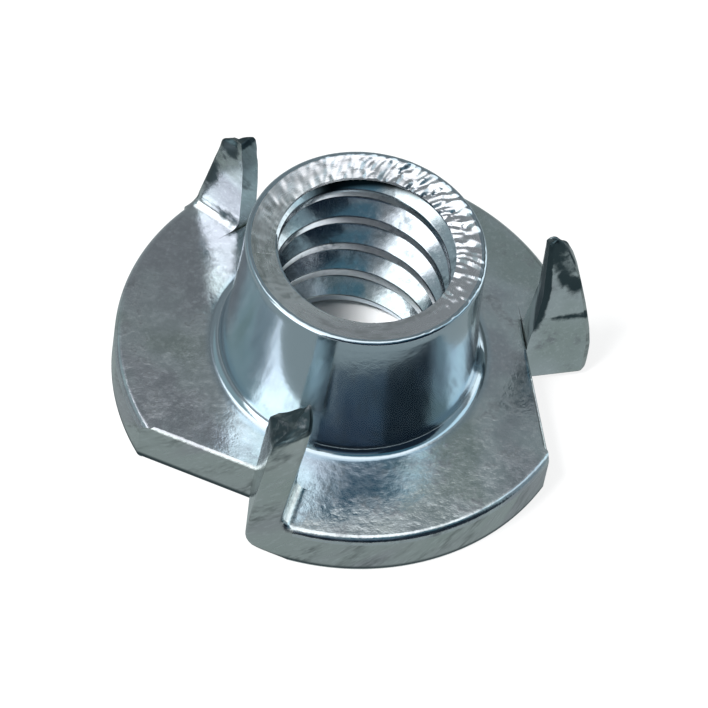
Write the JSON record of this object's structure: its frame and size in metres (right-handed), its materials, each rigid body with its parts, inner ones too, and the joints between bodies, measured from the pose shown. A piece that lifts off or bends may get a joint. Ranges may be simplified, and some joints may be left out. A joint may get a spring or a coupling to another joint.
{
  "type": "tee nut",
  "caption": "Pressed tee nut for wood: a flat round flange with a drawn, internally threaded barrel and sharp prongs bent up from its edge.",
  "frame": {"origin": "on the thread's axis, in the plane of the flange's flat underside", "axes": "+Z along the thread's axis, from the flange towards the barrel's rim; +X faces the first of the straight cuts in the flange"},
  "size_m": [0.014, 0.0135, 0.0063],
  "materials": {
    "zinc_plate": "bright, slightly blue zinc plate on pressed steel, satin and mottled on the flange and glossy on the barrel"
  },
  "bodies": {
    "root": {"tee_nut": "zinc_plate"}
  },
  "joints": []
}
